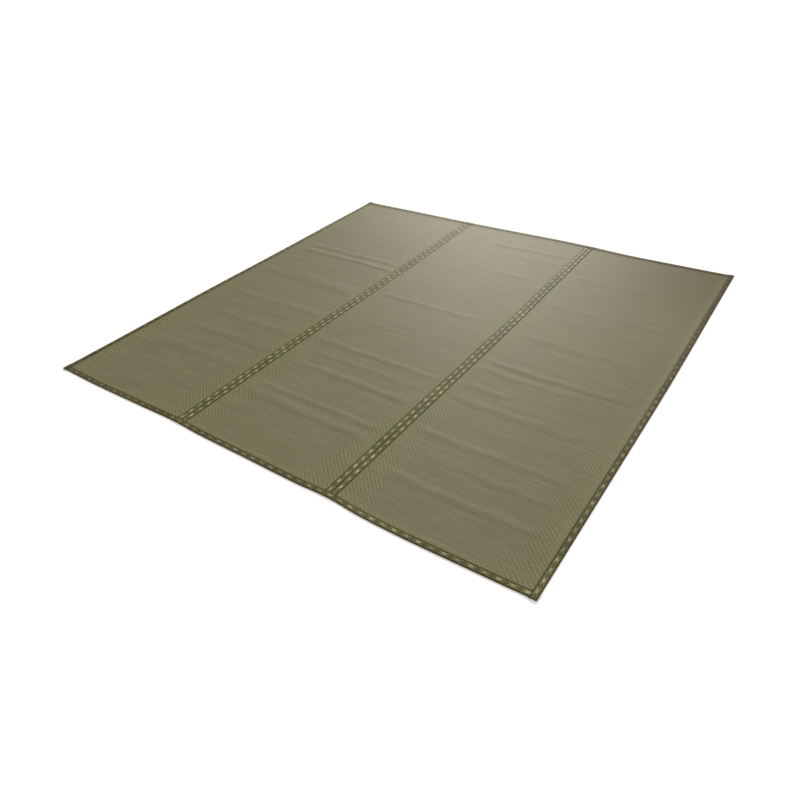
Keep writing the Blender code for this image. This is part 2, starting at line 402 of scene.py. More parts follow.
# %% Closed sheets from grids
RIB_PITCH = 0.01107
BLOCK_LENGTH = 0.0105
WEAVE_SINK = GAP / 3
BACK_COLUMNS = 6
BACK_ROWS = 8
SHARP_ANGLE = math.radians(40)


def build(name, points, faces, cloth):
    """A mesh object with its cloth attribute, shaded smooth but for its sharp rims."""
    mesh = bpy.data.meshes.new(name)
    mesh.from_pydata(points.tolist(), [], faces)
    layer = mesh.attributes.new("cloth", "FLOAT_VECTOR", "POINT")
    layer.data.foreach_set("vector", cloth.astype(np.float32).ravel())
    mesh.shade_smooth()
    mesh.set_sharp_from_angle(angle=SHARP_ANGLE)
    return link(bpy.data.objects.new(name, mesh))


def grid_faces(rows, columns):
    """Quads of a grid, as rows of four point numbers."""
    first = (np.arange(rows - 1)[:, None] * columns + np.arange(columns - 1)).ravel()
    return np.stack([first, first + 1, first + columns + 1, first + columns], axis=1)


def border(rows, columns):
    """The numbers of a grid's outer points, once round."""
    numbers = np.arange(rows * columns).reshape(rows, columns)
    return np.concatenate(
        [numbers[0, :-1], numbers[:-1, -1], numbers[-1, :0:-1], numbers[:0:-1, 0]]
    )


def coarse_faces(rows, columns, row_step, column_step):
    """Large faces under a fine grid. Those at the rim keep every fine point of the rim."""
    numbers = np.arange(rows * columns).reshape(rows, columns)
    row_marks = sorted({*range(0, rows - 1, row_step), rows - 1})
    column_marks = sorted({*range(0, columns - 1, column_step), columns - 1})
    faces = []
    for low, high in zip(row_marks, row_marks[1:]):
        for left, right in zip(column_marks, column_marks[1:]):
            front = numbers[low, left:right + 1] if low == 0 else numbers[low, [left, right]]
            back = numbers[high, left:right + 1] if high == rows - 1 else numbers[high, [left, right]]
            near = numbers[low:high + 1, left] if left == 0 else numbers[[low, high], left]
            far = numbers[low:high + 1, right] if right == columns - 1 else numbers[[low, high], right]
            faces.append([*front[:-1], *far[:-1], *back[:0:-1], *near[:0:-1]])
    return faces


def closed_sheet(name, top, under, cloth, row_step=1, column_step=1):
    """A closed body between two grids of points, with a rim and its faces outwards."""
    rows, columns = top.shape[:2]
    count = rows * columns
    upper = grid_faces(rows, columns)
    lower = coarse_faces(rows, columns, row_step, column_step)
    used = np.zeros(count, dtype=bool)
    for face in lower:
        used[face] = True
    renumber = np.where(used, count + np.cumsum(used) - 1, -1)
    rim = border(rows, columns)
    ahead = np.roll(rim, -1)
    walls = np.stack([rim, renumber[rim], renumber[ahead], ahead], axis=1)
    faces = upper.tolist() + [renumber[face][::-1].tolist() for face in lower] + walls.tolist()
    points = np.concatenate([top.reshape(-1, 3), under.reshape(-1, 3)[used]])
    values = np.concatenate([cloth.reshape(-1, 3), cloth.reshape(-1, 3)[used]])
    facing = np.cross(top[0, 1] - top[0, 0], top[1, 0] - top[0, 0])
    if np.dot(facing, top[0, 0] - under[0, 0]) < 0:
        faces = [face[::-1] for face in faces]
    return build(name, points, faces, values)


def panel_sheet(index):
    """One panel's closed sheet, flat but for its ripples and the climb over the bindings."""
    panel = PANELS[index]
    low = -EDGE if index == 0 else SEAMS[index - 1] + SEAM_GAP / 2
    high = EDGE if index == len(PANELS) - 1 else SEAMS[index] - SEAM_GAP / 2
    ribs = round((high - low) / RIB_PITCH)
    blocks = round(2 * EDGE / BLOCK_LENGTH)
    x, y = np.meshgrid(np.linspace(low, high, 2 * ribs + 1), np.linspace(-EDGE, EDGE, 2 * blocks + 1))
    rib, block = np.meshgrid(np.arange(2 * ribs + 1) / 2, np.arange(2 * blocks + 1) / 2)
    openly = openness(x, y)
    floor = LIFT * (side_rise(x) + end_rise(y)) + ripple_height(panel, x, y)
    floor = floor + faint_ripples(index, x, y) * np.minimum(openly, 1.0)
    cloth = np.stack([rib, block, openly], axis=-1)
    top = settle(x, y, floor + RUSH_THICK - WEAVE_SINK)
    under = settle(x, y, floor)
    sheet = closed_sheet("plain_sheet_" + panel, top, under, cloth, BACK_ROWS, BACK_COLUMNS)
    return sheet, (high - low, 2 * EDGE)


# %% [markdown]
# ## Raising the weave
# Two waves multiplied give the chequer: where both are high or both are low the block is up, and between
# them it is down. A diagonal wave makes the raised blocks lean towards each other, because the
# stalks are beaten in at a slant. Another wave rounds every rib and leaves a furrow on each warp. A little
# noise makes the blocks uneven, as stalks of different thickness do. Only upper points are raised. Under
# a tape the cloth is pressed flat, beside it the sewing keeps the weave crisp, and inside a panel, where
# feet and rolling have flattened it, it is lower.

# %% Geometry Nodes tree for the weave
UNEVEN_SCALE = 0.9


def new_tree(name, inputs):
    """An empty Geometry Nodes tree with named inputs and its two end nodes."""
    tree = bpy.data.node_groups.new(name, "GeometryNodeTree")
    tree.interface.new_socket("Geometry", in_out="INPUT", socket_type="NodeSocketGeometry")
    for label, kind in inputs:
        tree.interface.new_socket(label, in_out="INPUT", socket_type="NodeSocket" + kind)
    tree.interface.new_socket("Geometry", in_out="OUTPUT", socket_type="NodeSocketGeometry")
    return tree, tree.nodes.new("NodeGroupInput"), tree.nodes.new("NodeGroupOutput")


def end_tree(tree, geometry, material, group_out):
    """Every tree ends by realizing its instances and setting the material."""
    real = put(tree, "GeometryNodeRealizeInstances", {"Geometry": geometry})
    painted = put(tree, "GeometryNodeSetMaterial", {"Geometry": real.outputs[0], "Material": material})
    tree.links.new(painted.outputs[0], group_out.inputs[0])


def grow(host, tree, values, name):
    """Runs a tree on a host object and returns the result as a plain mesh object in its place."""
    modifier = host.modifiers.new("grow", "NODES")
    modifier.node_group = tree
    for item in tree.interface.items_tree:
        if item.in_out == "INPUT" and item.name in values:
            modifier[item.identifier] = values[item.name]
    depsgraph = bpy.context.evaluated_depsgraph_get()
    mesh = bpy.data.meshes.new_from_object(
        host.evaluated_get(depsgraph), preserve_all_data_layers=True, depsgraph=depsgraph
    )
    mesh.name = name
    bpy.data.objects.remove(host, do_unlink=True)
    return link(bpy.data.objects.new(name, mesh))


def block_waves(tree, rib, block, lean):
    """The wave across the ribs, and the chequer of blocks, whose raised ones lean towards each other."""
    rib_wave = calc(tree, "SINE", calc(tree, "MULTIPLY", rib, math.pi))
    block_wave = calc(tree, "SINE", calc(tree, "MULTIPLY", block, math.pi))
    diagonal = calc(tree, "COSINE", calc(tree, "MULTIPLY", calc(tree, "ADD", rib, block), math.pi))
    chequer = calc(tree, "MULTIPLY", rib_wave, block_wave)
    leaning = calc(tree, "SUBTRACT", chequer, calc(tree, "MULTIPLY", diagonal, lean))
    return rib_wave, calc(tree, "DIVIDE", leaning, calc(tree, "ADD", lean, 1.0))


def crispness(tree, openly, inside):
    """How crisp the weave is: 0 under a tape, 1 beside it, and the value inside well inside a panel."""
    flattened = ramp(tree, openly, 1.0, 2.0, 1.0, inside)
    return calc(tree, "MULTIPLY", calc(tree, "MINIMUM", openly, 1.0), flattened)


def weave_tree():
    tree, given, result = new_tree("rush weave", (
        ("Relief", "Float"), ("Rib Share", "Float"), ("Lean", "Float"), ("Unevenness", "Float"),
        ("Inside", "Float"), ("Seed", "Int"), ("Material", "Material"),
    ))
    cloth = put(tree, "GeometryNodeInputNamedAttribute", {"Name": "cloth"}, data_type="FLOAT_VECTOR")
    parts = put(tree, "ShaderNodeSeparateXYZ", {0: cloth.outputs[0]})
    rib_wave, chequer = block_waves(tree, parts.outputs["X"], parts.outputs["Y"], given.outputs["Lean"])
    rounding = calc(tree, "MULTIPLY_ADD", calc(tree, "ABSOLUTE", rib_wave), 2.0, -1.0)
    height = put(
        tree, "ShaderNodeMix", {"Factor": given.outputs["Rib Share"], 2: chequer, 3: rounding}
    ).outputs[0]
    noise = put(
        tree, "ShaderNodeTexNoise",
        {"Vector": cloth.outputs[0], "W": given.outputs["Seed"], "Scale": UNEVEN_SCALE, "Detail": 2.0},
        noise_dimensions="4D",
    )
    swing = calc(tree, "MULTIPLY", calc(tree, "SUBTRACT", noise.outputs[0], 0.5),
                 given.outputs["Unevenness"])
    height = calc(tree, "MULTIPLY", height, calc(tree, "ADD", swing, 1.0))
    upper = calc(tree, "GREATER_THAN", put(
        tree, "ShaderNodeSeparateXYZ", {0: tree.nodes.new("GeometryNodeInputNormal").outputs[0]}
    ).outputs["Z"], 0.5)
    crisp = crispness(tree, parts.outputs["Z"], given.outputs["Inside"])
    height = calc(tree, "MULTIPLY", calc(tree, "MULTIPLY", height, crisp), upper)
    height = calc(tree, "MULTIPLY", height, given.outputs["Relief"])
    offset = put(tree, "ShaderNodeCombineXYZ", {"Z": height})
    moved = put(
        tree, "GeometryNodeSetPosition",
        {"Geometry": given.outputs["Geometry"], "Offset": offset.outputs[0]},
    )
    end_tree(tree, moved.outputs[0], given.outputs["Material"], result)
    return tree


WEAVE_TREE = weave_tree()
print("weave tree has", len(WEAVE_TREE.nodes), "nodes")

# %% [markdown]
# ## The rush's finish
# Rush is dried in mud, which leaves it a dull grey-green that fades to straw. No two stalks have
# the same tone, and each changes along its length, so the colour varies finely along the mat and slowly
# across it. Beside the long tapes it has stayed a little fresher, and towards the back right corner it is
# darkened by painted shade, where the room's light falls off.
# The surface is waxy: it has a broad soft gloss, and it looks pale and grey at a low angle. The tones are
# painted from the cloth attribute and from places on the mat, and the stalks are a fine bump.

# %% Rush material
STALKS_PER_BLOCK = 5.0
RUSH_STRAW = (0.156, 0.138, 0.084)
RUSH_GREEN = (0.137, 0.134, 0.080)
RUSH_BROWN = (0.139, 0.113, 0.064)
RUSH_PALE = (0.223, 0.203, 0.130)
RUSH_EDGE = (0.150, 0.145, 0.066)
RUSH_FRESH = (0.150, 0.147, 0.071)
# This colour and the next three numbers paint shade towards the back right corner.
RUSH_CORNER_SHADE = (0.090, 0.069, 0.032)
SHADED_CORNER = (1.3, 1.3, 0.0)
CORNER_SHADE_REACH = (0.05, 0.95)
CORNER_SHADE = 0.55
RUSH_ROUGHNESS = 0.50
RUSH_IOR = 1.135
CHEQUER_SHADE = 0.22
FURROW_SHADE = 0.18
INSIDE_SHADE = 0.28
LEAN = 0.55
FURROW_REACH = 0.45
FURROW_DEPTH = 0.8
STALK_SLANT = 0.22
STALK_CHANGE = 0.06
STALK_STEP = 7.31
STALK_BUMP = (0.7, 0.0001)
PATCH_SCALE = 1.3
STREAK_SCALE = (1.6, 26.0, 1.0)
MOTTLE_SCALE = 0.45


def rush_material():
    material, tree, shader = new_material("woven rush", RUSH_ROUGHNESS, RUSH_IOR)
    cloth = put(tree, "ShaderNodeAttribute", attribute_name="cloth").outputs["Vector"]
    parts = put(tree, "ShaderNodeSeparateXYZ", {0: cloth})
    rib, block, openly = parts.outputs["X"], parts.outputs["Y"], parts.outputs["Z"]
    rib_wave, chequer = block_waves(tree, rib, block, LEAN)
    furrow = ramp(tree, calc(tree, "ABSOLUTE", rib_wave), 0.0, FURROW_REACH, 1.0, 0.0)

    slant = calc(tree, "MULTIPLY", rib_wave, STALK_SLANT)
    stalk = calc(tree, "ADD", calc(tree, "MULTIPLY", block, STALKS_PER_BLOCK), slant)
    number = calc(tree, "FLOOR", stalk)
    where = put(tree, "ShaderNodeCombineXYZ", {
        "X": calc(tree, "MULTIPLY", rib, STALK_CHANGE), "Y": calc(tree, "MULTIPLY", number, STALK_STEP),
    }).outputs[0]
    tone = soft_noise(tree, where, 1.0, 2.0)
    places = put(tree, "ShaderNodeTexCoord").outputs["Object"]
    patch = soft_noise(tree, places, PATCH_SCALE, 3.0)
    streaks = put(tree, "ShaderNodeMapping", {"Vector": places, "Scale": STREAK_SCALE}).outputs[0]
    streak = soft_noise(tree, streaks, 1.0, 3.0)

    colour = blend_colours(tree, ramp(tree, patch, 0.35, 0.7), RUSH_STRAW, RUSH_GREEN)
    colour = blend_colours(tree, ramp(tree, streak, 0.45, 0.75, 0.0, 0.5), colour, RUSH_BROWN)
    colour = blend_colours(tree, ramp(tree, tone, 0.52, 0.75, 0.0, 0.7), colour, RUSH_PALE)
    colour = blend_colours(tree, ramp(tree, tone, 0.5, 0.25, 0.0, 0.7), colour, RUSH_BROWN)
    colour = blend_colours(tree, ramp(tree, openly, 1.0, 1.5, 0.3, 0.0), colour, RUSH_FRESH)
    # Painted shade: the rush darkens towards the back right corner, where the room's light falls off.
    from_corner = put(
        tree, "ShaderNodeVectorMath", {0: places, 1: SHADED_CORNER}, operation="DISTANCE"
    ).outputs["Value"]
    corner_shade = ramp(tree, from_corner, *CORNER_SHADE_REACH, CORNER_SHADE, 0.0)
    colour = blend_colours(tree, corner_shade, colour, RUSH_CORNER_SHADE)
    colour = blend_colours(tree, ramp(tree, openly, 1.0, 0.0), colour, RUSH_EDGE)
    mottle = soft_noise(tree, cloth, MOTTLE_SCALE, 1.0)
    contrast = calc(tree, "MULTIPLY", ramp(tree, mottle, 0.3, 0.7, 0.2, 1.5),
                    ramp(tree, patch, 0.3, 0.7, 1.25, 0.75))
    contrast = calc(tree, "MULTIPLY", contrast, crispness(tree, openly, INSIDE_SHADE))
    # Painted light and shade: raised blocks lighter, lowered blocks and the furrows on the warps darker.
    shade = calc(tree, "MULTIPLY_ADD", calc(tree, "MULTIPLY", chequer, contrast), CHEQUER_SHADE, 1.0)
    shade = calc(tree, "MULTIPLY_ADD", furrow, -FURROW_SHADE, shade)
    colour = shaded(tree, colour, shade)

    round_stalk = calc(tree, "ABSOLUTE", calc(tree, "SINE", calc(tree, "MULTIPLY", stalk, math.pi)))
    height = calc(tree, "MULTIPLY_ADD", furrow, -FURROW_DEPTH, round_stalk)
    dress(tree, shader, colour, height, STALK_BUMP)
    return material


RUSH = rush_material()
print("rush material has", len(RUSH.node_tree.nodes), "nodes")

# %% Weave the three panels
WEAVE = {
    "Relief": 0.0003, "Rib Share": 0.35, "Lean": LEAN, "Unevenness": 0.9, "Inside": 0.4, "Material": RUSH,
}
panels, panel_flats = [], []
for index, panel in enumerate(PANELS):
    plain, flat = panel_sheet(index)
    woven = grow(plain, WEAVE_TREE, {**WEAVE, "Seed": index + 1}, "rush_cloth_" + panel)
    panels.append(woven)
    panel_flats.append(flat)
    print(woven.name, "%.3f by %.3f m," % flat, len(woven.data.polygons), "faces")

# %% [markdown]
# ## The tape's finish
# Such tape is woven on a narrow loom with its pattern in it: here two rows of pale oval flowers on olive,
# with green lozenges between them and dark toothed lines at the middle and the edges. Folded in half
# round an edge, it shows one row. The pattern is charted in millimetres by math nodes on the tape's own
# coordinates, snapped to the threads so that its outlines are stepped like real weaving.

# %% Tape material
MOTIF_PITCH = 51.5
ROW_PLACE = 13.5
ROW_SHIFT = 21.0
FLOWER_LENGTH = 10.0
FLOWER_WIDTH = 5.6
FLOWER_RIM = 1.25
FLOWER_HEART = 0.2
SPLIT_WIDTH = 0.07
SPLIT_REACH = (0.30, 0.95)
LEAF_LENGTH = 13.5
LEAF_WIDTH = 8.8
LEAF_INSIDE = 0.76
MIDDLE_LINE = 3.2
EDGE_LINE = 22.4
TOOTH_PITCH = 8.6
TOOTH_HEIGHT = 3.4
THREAD = 0.8
TAPE_GROUND = (0.165, 0.159, 0.078)
TAPE_DARK = (0.045, 0.042, 0.010)
TAPE_GREEN = (0.077, 0.094, 0.035)
TAPE_CREAM = (0.322, 0.310, 0.206)
TAPE_DIM = (0.236, 0.227, 0.141)
TAPE_SOIL_AND_SHADE = (0.054, 0.036, 0.011)
TAPE_ROUGHNESS = 0.52
TAPE_IOR = 1.128
TAPE_BUMP = (0.6, 0.00015)
YARN_SCALE = (1200.0, 90.0, 1.0)
FADING_SCALE = 5.0


def tape_material():
    material, tree, shader = new_material("patterned tape", TAPE_ROUGHNESS, TAPE_IOR)
    cloth = put(tree, "ShaderNodeAttribute", attribute_name="cloth").outputs["Vector"]
    parts = put(tree, "ShaderNodeSeparateXYZ", {0: cloth})
    across = calc(tree, "MULTIPLY", parts.outputs["X"], 1000.0)
    along = calc(tree, "MULTIPLY", parts.outputs["Y"], 1000.0)

    side = calc(tree, "GREATER_THAN", across, 0.0)
    out = calc(tree, "SNAP", calc(tree, "ABSOLUTE", across), THREAD)
    travel = calc(tree, "SNAP", calc(tree, "MULTIPLY_ADD", side, ROW_SHIFT, along), THREAD)
    repeat = calc(tree, "DIVIDE", travel, MOTIF_PITCH)
    number = calc(tree, "FLOOR", repeat)
    in_repeat = calc(tree, "SUBTRACT", calc(tree, "SUBTRACT", repeat, number), 0.5)
    t = calc(tree, "ABSOLUTE", calc(tree, "MULTIPLY", in_repeat, MOTIF_PITCH))
    s = calc(tree, "ABSOLUTE", calc(tree, "SUBTRACT", out, ROW_PLACE))
    far = calc(tree, "SUBTRACT", MOTIF_PITCH / 2, t)

    def within(value, low, high):
        """1 where low < value < high."""
        return calc(tree, "MULTIPLY", calc(tree, "GREATER_THAN", value, low),
                    calc(tree, "LESS_THAN", value, high))

    def lozenge(first, second, length, width):
        """Distance from a lozenge's centre: 1 on its outline."""
        return calc(tree, "ADD", calc(tree, "DIVIDE", first, length), calc(tree, "DIVIDE", second, width))

    flower = calc(tree, "SQRT", lozenge(
        calc(tree, "POWER", t, 2.0), calc(tree, "POWER", s, 2.0), FLOWER_LENGTH**2, FLOWER_WIDTH**2
    ))
    petals = calc(tree, "ABSOLUTE", calc(tree, "SUBTRACT", calc(tree, "DIVIDE", t, FLOWER_LENGTH),
                                         calc(tree, "DIVIDE", s, FLOWER_WIDTH)))
    split = calc(tree, "MULTIPLY", within(petals, -1.0, SPLIT_WIDTH), within(flower, *SPLIT_REACH))
    leaf = lozenge(far, s, LEAF_LENGTH, LEAF_WIDTH)
    every_other = calc(tree, "PINGPONG", number, 1.0)

    colour = blend_colours(tree, within(leaf, -1.0, 1.0), TAPE_GROUND, TAPE_DARK)
    colour = blend_colours(tree, within(leaf, -1.0, LEAF_INSIDE), colour, TAPE_GREEN)
    colour = blend_colours(tree, within(flower, 1.0, FLOWER_RIM), colour, TAPE_DARK)
    bloom = blend_colours(tree, every_other, TAPE_CREAM, TAPE_DIM)
    petal = within(flower, FLOWER_HEART, 1.0)
    colour = blend_colours(tree, petal, colour, bloom)
    colour = blend_colours(tree, split, colour, TAPE_GROUND)
    tooth = calc(tree, "MULTIPLY", calc(tree, "PINGPONG", travel, TOOTH_PITCH / 2),
                 2 * TOOTH_HEIGHT / TOOTH_PITCH)
    edge_line = calc(tree, "GREATER_THAN", calc(tree, "ADD", out, tooth), EDGE_LINE)
    middle_line = calc(tree, "LESS_THAN", calc(tree, "SUBTRACT", out, tooth), MIDDLE_LINE)
    colour = blend_colours(tree, calc(tree, "MAXIMUM", edge_line, middle_line), colour, TAPE_DARK)

    # Soil and painted shade from the cloth's third number: darker towards a binding's fold and towards two
    # corners.
    colour = blend_colours(tree, calc(tree, "SUBTRACT", 1.0, parts.outputs["Z"]), colour, TAPE_SOIL_AND_SHADE)
    threads = put(tree, "ShaderNodeMapping", {"Vector": cloth, "Scale": YARN_SCALE}).outputs[0]
    yarn = soft_noise(tree, threads, 1.0, 2.0)
    places = put(tree, "ShaderNodeTexCoord").outputs["Object"]
    fading = soft_noise(tree, places, FADING_SCALE, 3.0)
    shade = calc(tree, "MULTIPLY", ramp(tree, yarn, 0.3, 0.7, 0.82, 1.18),
                 ramp(tree, fading, 0.3, 0.7, 0.85, 1.15))
    colour = shaded(tree, colour, shade)

    warp = calc(tree, "SINE", calc(tree, "MULTIPLY", across, 2 * math.pi / THREAD))
    weft = calc(tree, "SINE", calc(tree, "MULTIPLY", along, 2 * math.pi / THREAD))
    height = calc(tree, "MULTIPLY_ADD", calc(tree, "MULTIPLY", warp, weft), 0.5, petal)
    dress(tree, shader, colour, height, TAPE_BUMP)
    return material


TAPE = tape_material()
print("tape material has", len(TAPE.node_tree.nodes), "nodes")

# %% [markdown]
# ## Tapes over the seams
# A seam tape is sewn down 3 mm inside each edge, which draws the edges down on the rush and leaves the
# middle slightly crowned. Its ends run under the end bindings. It is a thin closed sheet whose
# thickness falls off at the woven edges.

# %% Tape sheets over the seams
ROW_STEP = 0.0065
SEWN_IN = 0.003
TAPE_EDGE_THICK = 0.0004
TAPE_BODY_THICK = 0.0009
SEWN_WIDTH = 0.006
SEWN_DROP = 0.0007
PUCKER = 0.00012
PUCKER_LENGTHS = (0.037, 0.061)
SEAM_PUCKER_TURN = 3.0
EDGE_PUCKER_TURN = 5.0
REST = 0.0001


def tape_thickness(from_edge):
    """A tape is thin at its woven edge and full a few millimetres in."""
    return TAPE_EDGE_THICK + (TAPE_BODY_THICK - TAPE_EDGE_THICK) * smooth(from_edge / SEWN_WIDTH)


def sewn_down(from_edge):
    """How far the sewing draws the tape down, near its edge."""
    return SEWN_DROP * (1.0 - smooth(from_edge / SEWN_WIDTH))


def puckers(along, phase):
    """The tape's slight unevenness between stitches."""
    short, long = (along * 2 * np.pi / length for length in PUCKER_LENGTHS)
    return PUCKER * (np.sin(short + phase) + np.sin(long))


TAPE_START = {
    # how far each tape's pattern is moved along it, since each is cut from the roll at any place
    "seam_left": 0.0, "seam_right": 0.0, "side_edge_left": 0.015, "side_edge_right": 0.008,
    "end_edge_front": 0.026, "end_edge_back": 0.041,
}
TAPE_COLUMNS = (0.0, 0.0008, 0.002, 0.003, 0.0045, 0.006, 0.010, 0.016, 0.022)


def seam_tape(index):
    side = SIDES[index]
    seam = SEAMS[index]
    edge_in = np.array(TAPE_COLUMNS)
    place = np.concatenate([-TAPE_WIDTH / 2 + edge_in, [0.0], (TAPE_WIDTH / 2 - edge_in)[::-1]])
    y = np.linspace(-EDGE, EDGE, round(2 * EDGE / ROW_STEP) + 1)
    place, y = np.meshgrid(place, y)
    from_edge = TAPE_WIDTH / 2 - np.abs(place)
    bottom = RUSH_THICK + REST + LIFT * end_rise(y)
    crown = puckers(y, SEAM_PUCKER_TURN * place / TAPE_WIDTH + index) + PUCKER
    crown = crown * smooth(from_edge / SEWN_WIDTH)
    under = settle(seam + place, y, bottom + np.maximum(crown, 0.0))
    top = settle(seam + place, y, bottom + tape_thickness(from_edge) + np.maximum(crown, 0.0))
    cloth = np.stack([place, y - TAPE_START["seam_" + side], np.ones_like(y)], axis=-1)
    piece = closed_sheet("tape_over_seam_" + side, top, under, cloth)
    piece.data.materials.append(TAPE)
    return piece


seam_tapes = [seam_tape(index) for index in range(len(SEAMS))]
print([(piece.name, len(piece.data.polygons)) for piece in seam_tapes])

# %% [markdown]
# ## Bindings folded round the edges
# A binding is the same tape folded in half over the mat's edge, one leg under the mat and one on top. Its
# section is drawn once: along the under leg, round the fold and back along the upper leg. The
# section is then carried along the edge, and its upper leg climbs over whatever lies inside. At
# the corners the side bindings cover the end bindings, and their ends are tucked in. The third number of
# cloth says how much the tape's colour is darkened: towards the fold, for rubbed soil and painted shade on
# the fold's face away from the light, and along two stretches towards the front left and back right
# corners.

# %% Binding sheets
FOLD_STEPS = 10
LEG_COLUMNS = (0.0, 0.0008, 0.002, 0.003, 0.0045, 0.006, 0.010, 0.015, 0.020)
LAYERS = 2 * TAPE_THICK + RUSH_THICK + 2 * GAP
CORNER_OVER = 0.0025
TUCK_LENGTH = 0.003
TUCK_HALF = 0.00055
TUCK_THIN = 0.5
NOSE_STEPS = (0.0, 0.06, 0.2, 0.45, 0.75)
FOLD_SOIL_AND_SHADE = 0.6
DARKENING_BY_END = {
    # how much darker each binding is painted at its first end (left or front) and at its last
    "side_edge_left": (0.6, 0.0), "side_edge_right": (0.0, 0.85),
    "end_edge_front": (0.6, 0.0), "end_edge_back": (0.0, 0.85),
}


def binding_section():
    """Depth in from the edge, height from 0 to 1, the way inwards, and the tape's own place across."""
    leg = BINDING_SHOWS - np.array(LEG_COLUMNS)
    angle = np.linspace(0.0, np.pi, FOLD_STEPS + 1)
    depth = np.concatenate([leg, FOLD_DEPTH * (1.0 - np.sin(angle)), leg[::-1]])
    part = np.concatenate([np.zeros_like(leg), 0.5 - 0.5 * np.cos(angle), np.ones_like(leg)])
    inward_depth = np.concatenate([np.zeros_like(leg), np.sin(angle), np.zeros_like(leg)])
    inward_up = np.concatenate([np.ones_like(leg), np.cos(angle), -np.ones_like(leg)])
    turn = (angle / np.pi - 0.5) * 2 * FOLD_DEPTH
    across = np.concatenate([-leg, turn, leg[::-1]])
    return depth, part, inward_depth, inward_up, across


def binding_sheet(name, along, floor, top, tuck, place):
    """A binding along an edge. place(depth, along, z) puts its points on the mat."""
    section = binding_section()
    depth, part, inward_depth, inward_up, across = (
        np.broadcast_to(row, (len(along), len(row))) for row in section
    )
    floor, top, tuck, run = (column[:, None] for column in (floor, top, tuck, along))
    from_edge = BINDING_SHOWS - depth
    upper = part > 0.999
    middle, half = (floor + top) / 2, np.maximum((top - floor) / 2 * tuck, TUCK_HALF)
    z = middle + half * (2 * part - 1)
    z = z - np.where(upper, (sewn_down(from_edge) - puckers(run, EDGE_PUCKER_TURN * depth / BINDING_SHOWS)
                             * smooth(from_edge / SEWN_WIDTH)) * tuck, 0.0)
    thick = tape_thickness(from_edge) * np.clip(half / ((top - floor) / 2), TUCK_THIN, 1.0)
    outer = place(depth, run, z)
    inner = place(depth + inward_depth * thick, run, z + inward_up * thick)
    shifted = np.broadcast_to(run - TAPE_START[name], across.shape)
    # Painted darker along two stretches, towards the front left and back right corners.
    first, last = DARKENING_BY_END[name]
    end_darkening = first + (last - first) * smooth((run + HALF) / MAT_SIDE)
    # Painted darker towards the fold, for rubbed soil and painted shade on the fold's face away from the
    # light.
    undarkened = (1.0 - FOLD_SOIL_AND_SHADE * (1.0 - depth / BINDING_SHOWS) ** 2) * (1.0 - end_darkening)
    cloth = np.stack([across, shifted, undarkened], axis=-1)
    piece = closed_sheet(name, outer, inner, cloth)
    piece.data.materials.append(TAPE)
    return piece


def side_binding(side, sign):
    reach = HALF + CORNER_OVER
    nose = TUCK_LENGTH * np.array(NOSE_STEPS)
    inner = np.linspace(-reach + TUCK_LENGTH, reach - TUCK_LENGTH, round(MAT_SIDE / ROW_STEP) + 1)
    along = np.concatenate([-reach + nose, inner, (reach - nose)[::-1]])
    from_end = np.clip((reach - np.abs(along)) / TUCK_LENGTH, 0.0, 1.0)
    tuck = np.sqrt(1.0 - (1.0 - from_end) ** 2)
    floor = np.zeros_like(along)
    top = LAYERS + 2 * LIFT * end_rise(along)

    def place(depth, y, z):
        return settle(sign * (HALF - depth), y, z)

    return binding_sheet("side_edge_" + side, along, floor, top, tuck, place)


def end_binding(end, sign):
    along = np.linspace(-EDGE, EDGE, round(MAT_SIDE / ROW_STEP) + 1)
    floor = LIFT * side_rise(along)
    top = floor + LAYERS + LIFT * seam_rise(along)

    def place(depth, x, z):
        return settle(x, sign * (HALF - depth), z)

    return binding_sheet("end_edge_" + end, along, floor, top, np.ones_like(along), place)


side_bindings = [side_binding("left", -1.0), side_binding("right", 1.0)]
end_bindings = [end_binding("front", -1.0), end_binding("back", 1.0)]
print([(piece.name, len(piece.data.polygons)) for piece in side_bindings + end_bindings])

# %% [markdown]
# ## Stitches
# Every tape is held by a line of machine stitches 3 mm inside its edge, in thread that nearly matches it.
# One stitch is a small spindle of a few dozen faces. Geometry Nodes set it at even steps along the
# sewing line, turn it to the line, and vary it a little, so a change of pitch is one number.

# %% Geometry Nodes tree for a line of stitches


